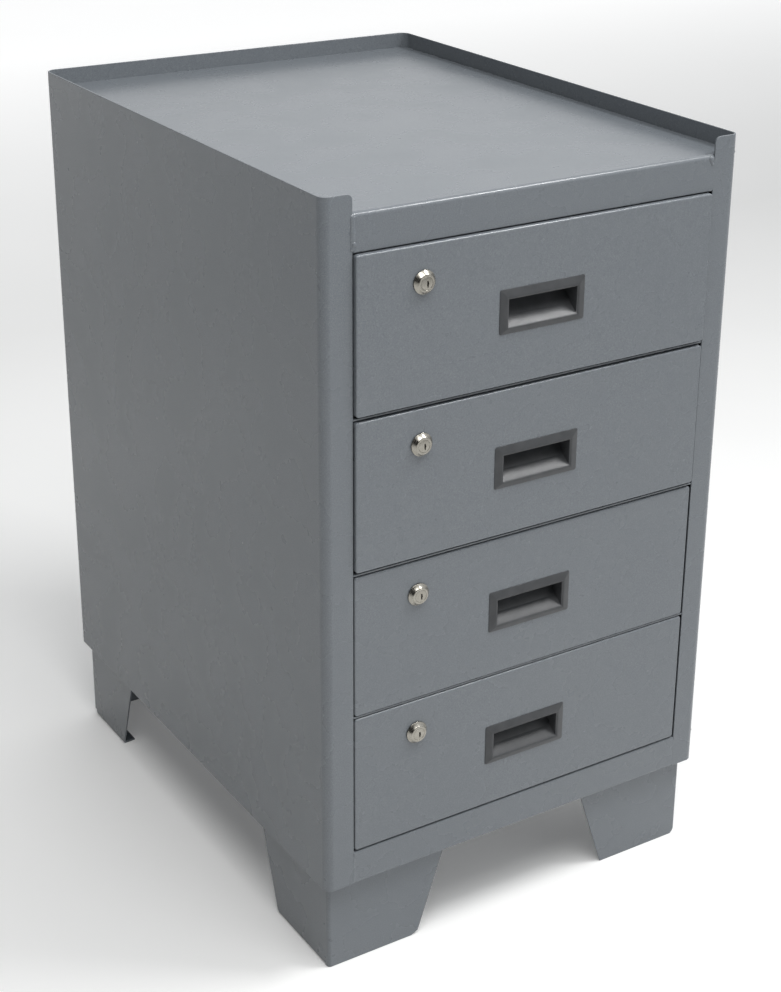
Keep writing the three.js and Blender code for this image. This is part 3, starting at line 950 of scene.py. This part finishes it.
def makeLock(number, zero, lockSpot, look):
    name = f"drawer_{number}"
    low, high = measured(f"{name}_lock_body", zero)
    head = (high.x - low.x) / 2
    front = low.y
    rear = high.y
    bore = look["bore"]
    barrel = look["barrel"]
    post = look["post"]
    seat = -cabinetLook["fit"]
    # the head with its sloping rim, then the barrel behind it, from the bore outwards
    body = [(bore, front + 0.5)]
    body += arcProfile((bore + 0.15, front + 0.15), 0.15, 180, 270, 3)
    body += arcProfile((look["topRadius"] - look["round"], front + look["round"]), look["round"], -90, -40, 8)
    body += arcProfile((head - 0.4, seat - look["rim"] + 0.1), 0.4, -70, 0, 4)
    body += [(head, seat), (barrel, seat)]
    body += [(barrel, rear - 0.8), (barrel - 0.8, rear), (bore, rear), (bore, front + 0.5)]
    piece = newPiece(f"drawer{number}Lock", turned(body, lockSpot, 64), zero)
    dress(piece, plating, 0, 0, soften=False)
    sharpen(piece, 32)
    place(piece, name, "lock_plating", f"{name}_lock_body")

    # the plug, with its stepped keyway cut off centre
    plug = look["plug"]
    low, high = measured(f"{name}_lock_plug", zero)
    shape = [(0, front + 0.06)]
    shape += arcProfile((plug - 0.2, front + 0.26), 0.2, -90, 0, 3)
    shape += [(plug, rear), (post, rear), (post, high.y), (0, high.y)]
    core = newPiece(f"drawer{number}Plug", turned(shape, lockSpot, 48), zero)
    wide, tall = look["keyway"]
    step = 0.5
    x = lockSpot[0] + look["keywayOff"][0]
    z = lockSpot[1] + look["keywayOff"][1]
    slot = [(x - wide / 2, z - tall / 2), (x + wide / 2, z - tall / 2), (x + wide / 2, z - 0.6),
            (x + wide / 2 + step, z - 0.2), (x + wide / 2 + step, z + 0.9), (x + wide / 2, z + 1.3),
            (x + wide / 2, z + tall / 2), (x - wide / 2, z + tall / 2), (x - wide / 2, z - 1.8),
            (x - wide / 2 + step, z - 2.1)]
    cutter = newPiece("keyway", swept(slot, "y", front - 1, front + look["keywayDepth"]), zero)
    dress(core, plating, 0, 0.12, angle=50, segments=1, cutters=[cutter], soften=False)
    sharpen(core, 32)
    place(core, f"{name}_lock", "lock_plating", f"{name}_lock_plug")

    # the nut that clamps the lock to the face, from behind
    x, z = lockSpot
    nutFlat = look["nut"]
    ring = [(math.radians(60 * k + 30), nutFlat / math.cos(math.radians(30))) for k in range(6)]
    outline = [(x + r * math.cos(a), z + r * math.sin(a)) for a, r in ring]
    nut = newPiece(f"drawer{number}LockNut", swept(outline, "y", *look["nutFaces"]), zero)
    boreWall = barrel + 0.25
    bore = newPiece("nutBore", turned([(0, 0), (boreWall, 0), (boreWall, 9), (0, 9)], lockSpot, 48), zero)
    dress(nut, zinc, 0, 0.4, angle=35, cutters=[bore])
    place(nut, name, "zinc")


camLook = {
    "corner": 5,
    "hole": 3.8,
    "edge": 0.3,
    "screw": 4.6,
    "screwRise": 2.2,
    "screwRound": 1,
    "slotWidth": 1,
    "slotDepth": 0.9,
}


def makeCam(number, zero, lockSpot, look):
    name = f"drawer_{number}"
    low, high = measured(f"{name}_lock_cam", zero)
    ring = ringOf((low.x, high.x), (low.z, high.z), look["corner"])
    cam = newPiece(f"drawer{number}Cam", swept(ring, "y", low.y, high.y), zero)
    bore = look["hole"]
    hole = newPiece("camHole", turned(
        [(0, low.y - 1), (bore, low.y - 1), (bore, high.y + 1), (0, high.y + 1)], lockSpot, 32), zero)
    dress(cam, zinc, 0, look["edge"], cutters=[hole])
    place(cam, f"{name}_lock", "zinc", f"{name}_lock_cam")

    # the slotted screw that holds the cam on the end of the plug
    seat = measured(f"{name}_lock_plug", zero)[1].y + 0.02
    top = seat + look["screwRise"]
    radius = look["screw"]
    rounding = look["screwRound"]
    head = [(0, seat), (radius, seat)]
    head += arcProfile((radius - rounding, top - rounding), rounding, 0, 90, 4) + [(0, top)]
    screw = newPiece(f"drawer{number}CamScrew", turned(head, lockSpot, 32), zero)
    x, z = lockSpot
    half = look["slotWidth"] / 2
    slot = [(x - half, z - radius - 1), (x + half, z - radius - 1),
            (x + half, z + radius + 1), (x - half, z + radius + 1)]
    cutter = newPiece("screwSlot", swept(slot, "y", top - look["slotDepth"], top + 1), zero)
    dress(screw, zinc, 0, 0, cutters=[cutter], soften=False)
    sharpen(screw, 32)
    place(screw, f"{name}_lock", "zinc")


for number in (1, 2, 3, 4):
    faceLow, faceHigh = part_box(f"drawer_{number}_front")
    drawerZero = Vector((0, faceLow.y, faceLow.z))
    faceHeight = (faceHigh.z - faceLow.z) / mm
    lockLow, lockHigh = measured(f"drawer_{number}_lock_body", drawerZero)
    lockSpot = ((lockLow.x + lockHigh.x) / 2, (lockLow.z + lockHigh.z) / 2)
    pullTop = measured(f"drawer_{number}_pull", drawerZero)[1].z
    makeFront(number, drawerZero, faceHeight, pullTop, lockSpot, frontLook)
    makePan(number, drawerZero, panLook)
    makePull(number, drawerZero, pullLook)
    makeLock(number, drawerZero, lockSpot, lockLook)
    makeCam(number, drawerZero, lockSpot, camLook)
    print("drawer", number, "made")


# slides: the cabinet's member, the middle member and the drawer's member, with balls between them

slideLook = {
    "sheet": 1.5,
    "webGap": 1,   # between the webs of two members
    "ballGap": 2,
    "hook": 2.6,   # the lip that holds the balls in
    "bend": 1.6,
    "ballRadius": 0.93,
    "ballStep": 11,
    "rowLength": 250,   # a row of balls, and how far it starts from the end
    "rowInset": 24,
    "bracketSheet": 1.9,
    "bracketRise": 12,
    "bracketLength": 32,
    "bracketInset": 36,   # from the slide's ends
    "rivets": (40, 190, 340, 490),   # from the slide's front end
    "edge": 0.2,
}


def channel(web, mouth, height, look):
    # a C section on the right-hand side, from its web to its mouth, which are both places in x
    half = height / 2
    turn = 1 if web > mouth else -1
    corners = [(mouth, turn * (look["hook"] - half)), (mouth, -turn * half), (web, -turn * half),
               (web, turn * half), (mouth, turn * half), (mouth, turn * (half - look["hook"]))]
    return bentOutline(corners, look["sheet"], look["bend"], 5)


def mirrored(polygons, side, rise=0):
    return [[(side * x, y, z + rise) for x, y, z in polygon] for polygon in polygons]


def ballRow(x, z, start, stop, look):
    # round balls set in a thin strip that keeps them apart
    polygons = []
    radius = look["ballRadius"]
    count = int((stop - start) / look["ballStep"])
    for k in range(count + 1):
        y = start + (stop - start) * k / count
        rows = []
        for i in range(1, 6):
            a = math.pi * i / 6
            rows.append([(x + radius * math.sin(a) * math.cos(b), y + radius * math.cos(a),
                          z + radius * math.sin(a) * math.sin(b))
                         for b in [2 * math.pi * j / 8 for j in range(8)]])
        for rowA, rowB in zip(rows, rows[1:]):
            polygons += strip(rowA, rowB, closed=True)
        for row, end in ((rows[0], y + radius), (rows[-1], y - radius)):
            polygons += [[row[j], row[(j + 1) % 8], (x, end, z)] for j in range(8)]
    return polygons


def makeSlide(number, where, side, look):
    name = f"drawer_{number}"
    title = where.capitalize()
    middleLow, middleHigh = measured(f"{name}_slide_middle_{where}")
    drawerLow, drawerHigh = measured(f"{name}_slide_inner_{where}")
    centre = (middleLow.z + middleHigh.z) / 2
    front = middleLow.y
    rear = middleHigh.y
    middleWeb = max(abs(middleLow.x), abs(middleHigh.x))
    middleMouth = min(abs(middleLow.x), abs(middleHigh.x))
    reach = middleWeb - middleMouth
    outerWeb = middleWeb + look["sheet"] + look["webGap"]
    drawerWeb = min(abs(drawerLow.x), abs(drawerHigh.x))
    drawerMouth = max(abs(drawerLow.x), abs(drawerHigh.x))
    middleTall = middleHigh.z - middleLow.z
    outerTall = middleTall + 2 * (look["sheet"] + look["ballGap"])

    def member(title, web, mouth, height, body, node):
        polygons = mirrored(swept(channel(web, mouth, height, look), "y", front, rear), side, centre)
        piece = newPiece(title, polygons)
        dress(piece, zinc, 0, look["edge"], angle=50)
        place(piece, body, "zinc", node)

    member(f"drawer{number}SlideOuter{title}", outerWeb, outerWeb - reach, outerTall, "cabinet",
           f"{name}_slide_outer_{where}")
    member(f"drawer{number}SlideMiddle{title}", middleWeb, middleMouth, middleTall,
           f"{name}_slide_middle", f"{name}_slide_middle_{where}")
    member(f"drawer{number}SlideInner{title}", drawerWeb, drawerMouth, drawerHigh.z - drawerLow.z,
           name, f"{name}_slide_inner_{where}")

    # two brackets, cut from the cabinet's sheet, reach from the slide to the wall
    rise = look["bracketRise"]
    wall = inside - cabinetLook["fit"]
    corners = [(outerWeb + 0.05, rise), (outerWeb + 0.05, -rise), (wall, -rise), (wall, rise)]
    bracket = bentOutline(corners, look["bracketSheet"], 2.4, 5)
    polygons = []
    rearStart = rear - look["bracketInset"] - look["bracketLength"]
    for start in (front + look["bracketInset"], rearStart):
        polygons += mirrored(swept(bracket, "y", start, start + look["bracketLength"]), side, centre)
    piece = newPiece(f"drawer{number}Brackets{title}", polygons)
    dress(piece, enamel, 0, look["edge"], angle=50)
    place(piece, "cabinet", "enamel")

    # the balls stay where the members overlap, however far the drawer is out
    inset = look["sheet"] + look["ballGap"] / 2
    rows = []
    for way in (-1, 1):
        rows += ballRow(middleWeb - reach * 0.28, way * (middleTall / 2 + look["ballGap"] / 2),
                        rear - look["rowInset"] - look["rowLength"], rear - look["rowInset"], look)
        rows += ballRow(middleWeb - reach * 0.57, way * (middleTall / 2 - inset),
                        front + look["rowInset"], front + look["rowInset"] + look["rowLength"], look)
    piece = newPiece(f"drawer{number}Balls{title}", mirrored(rows, side, centre))
    dress(piece, zinc, 0, 0, soften=False)
    place(piece, f"{name}_slide_middle", "zinc")

    # rivet heads hold the drawer's member to the pan
    inner = measured(f"{name}_pan")[1].x - panLook["sheet"]
    head = arcProfile((0, 0), 3.2, 0, 90, 5)
    dome = [(0, -0.9)] + [(r, -0.9 * y / 3.2) for r, y in head[::-1]] + [(3.2, 0.6), (0, 0.6)]
    polygons = []
    for y in look["rivets"]:
        for polygon in turned(dome, (front + y, 0), 20):
            polygons.append([(side * (inner + along), b, c + centre) for b, along, c in polygon])
    piece = newPiece(f"drawer{number}Rivets{title}", polygons)
    dress(piece, zinc, 0, 0, soften=False)
    sharpen(piece, 40)
    place(piece, name, "zinc")


for number in (1, 2, 3, 4):
    for where, side in sides:
        makeSlide(number, where, side, slideLook)
print("slides made")


# welds

weldLook = {
    "step": 1.3,
    "sides": 10,
    "ragged": 0.35,   # share of the bead's radius
    "ripple": 5,   # length of one swelling
}


def makeBead(name, start, end, radius, flatness, look, seed):
    # a ragged bead laid along a straight line, flatter than it is wide; its far side is sunk in the sheet
    start = Vector(start)
    end = Vector(end)
    along = end - start
    count = max(4, int(along.length / look["step"]))
    out = Vector((0, -1, 0))
    beside = along.normalized().cross(out).normalized()
    rows = []
    for k in range(count + 1):
        t = k / count
        spot = start + along * t
        swell = 1 + look["ragged"] * noise.noise(Vector((seed * 7.3, t * along.length / look["ripple"], 0)))
        swell += 0.5 * look["ragged"] * noise.noise(Vector((seed * 3.1, t * along.length / 1.7, 4)))
        taper = min(1, 0.35 + 3.5 * min(t, 1 - t) * along.length / 10)
        wide = radius * swell * taper
        row = []
        for j in range(look["sides"]):
            a = 2 * math.pi * j / look["sides"]
            row.append(tuple(spot + beside * wide * math.cos(a) + out * wide * flatness * math.sin(a)))
        rows.append(row)
    polygons = [rows[0], rows[-1]]
    for rowA, rowB in zip(rows, rows[1:]):
        polygons += strip(rowA, rowB, closed=True)
    piece = newPiece(name, polygons)
    dress(piece, enamel, 0, 0, soften=False)
    place(piece, "cabinet", "enamel")


leftSeam = leftEnd - cabinetLook["fit"] / 2
rightSeam = rightEnd + cabinetLook["fit"] / 2
# name, start, end, radius, flatness and the seed of its raggedness
beads = [
    ("leftTrayWeld", (leftSeam, 0.3, fasciaBottom + 1), (leftSeam, 0.3, trayTop - 1.5), 2.9, 0.42, 1),
    ("leftTrayTack", (leftSeam + 0.2, 0.2, fasciaBottom + 3), (leftSeam + 1.6, 0.2, fasciaBottom + 11),
     2.2, 0.75, 5),
    ("leftTrayTop", (leftSeam + 0.6, 0.5, trayTop - 6.5), (leftSeam + 2.4, 0.5, trayTop - 3), 2.0, 0.8, 6),
    ("rightTrayWeld", (rightSeam, 0.4, fasciaBottom + 1), (rightSeam, 0.4, trayTop - 5), 1.3, 0.3, 9),
    ("rightTrayTack", (rightSeam - 7, 0.9, trayTop - 4.6), (rightSeam - 0.2, 0.5, trayTop - 4), 3.1, 0.6, 2),
    ("rightTrayDrip", (rightSeam - 3.6, 0.5, trayTop - 10.5), (rightSeam - 0.8, 0.5, trayTop - 7.5),
     2.1, 0.8, 8),
    ("leftRailWeld", (leftSeam, 0.35, railTop - 6), (leftSeam, 0.35, 0.8), 1.9, 0.3, 3),
    ("rightRailWeld", (rightSeam, 0.35, railTop - 4), (rightSeam, 0.35, 0.8), 1.2, 0.25, 4),
]
for name, start, end, radius, flatness, seed in beads:
    makeBead(name, start, end, radius, flatness, weldLook, seed)
print("welds made")
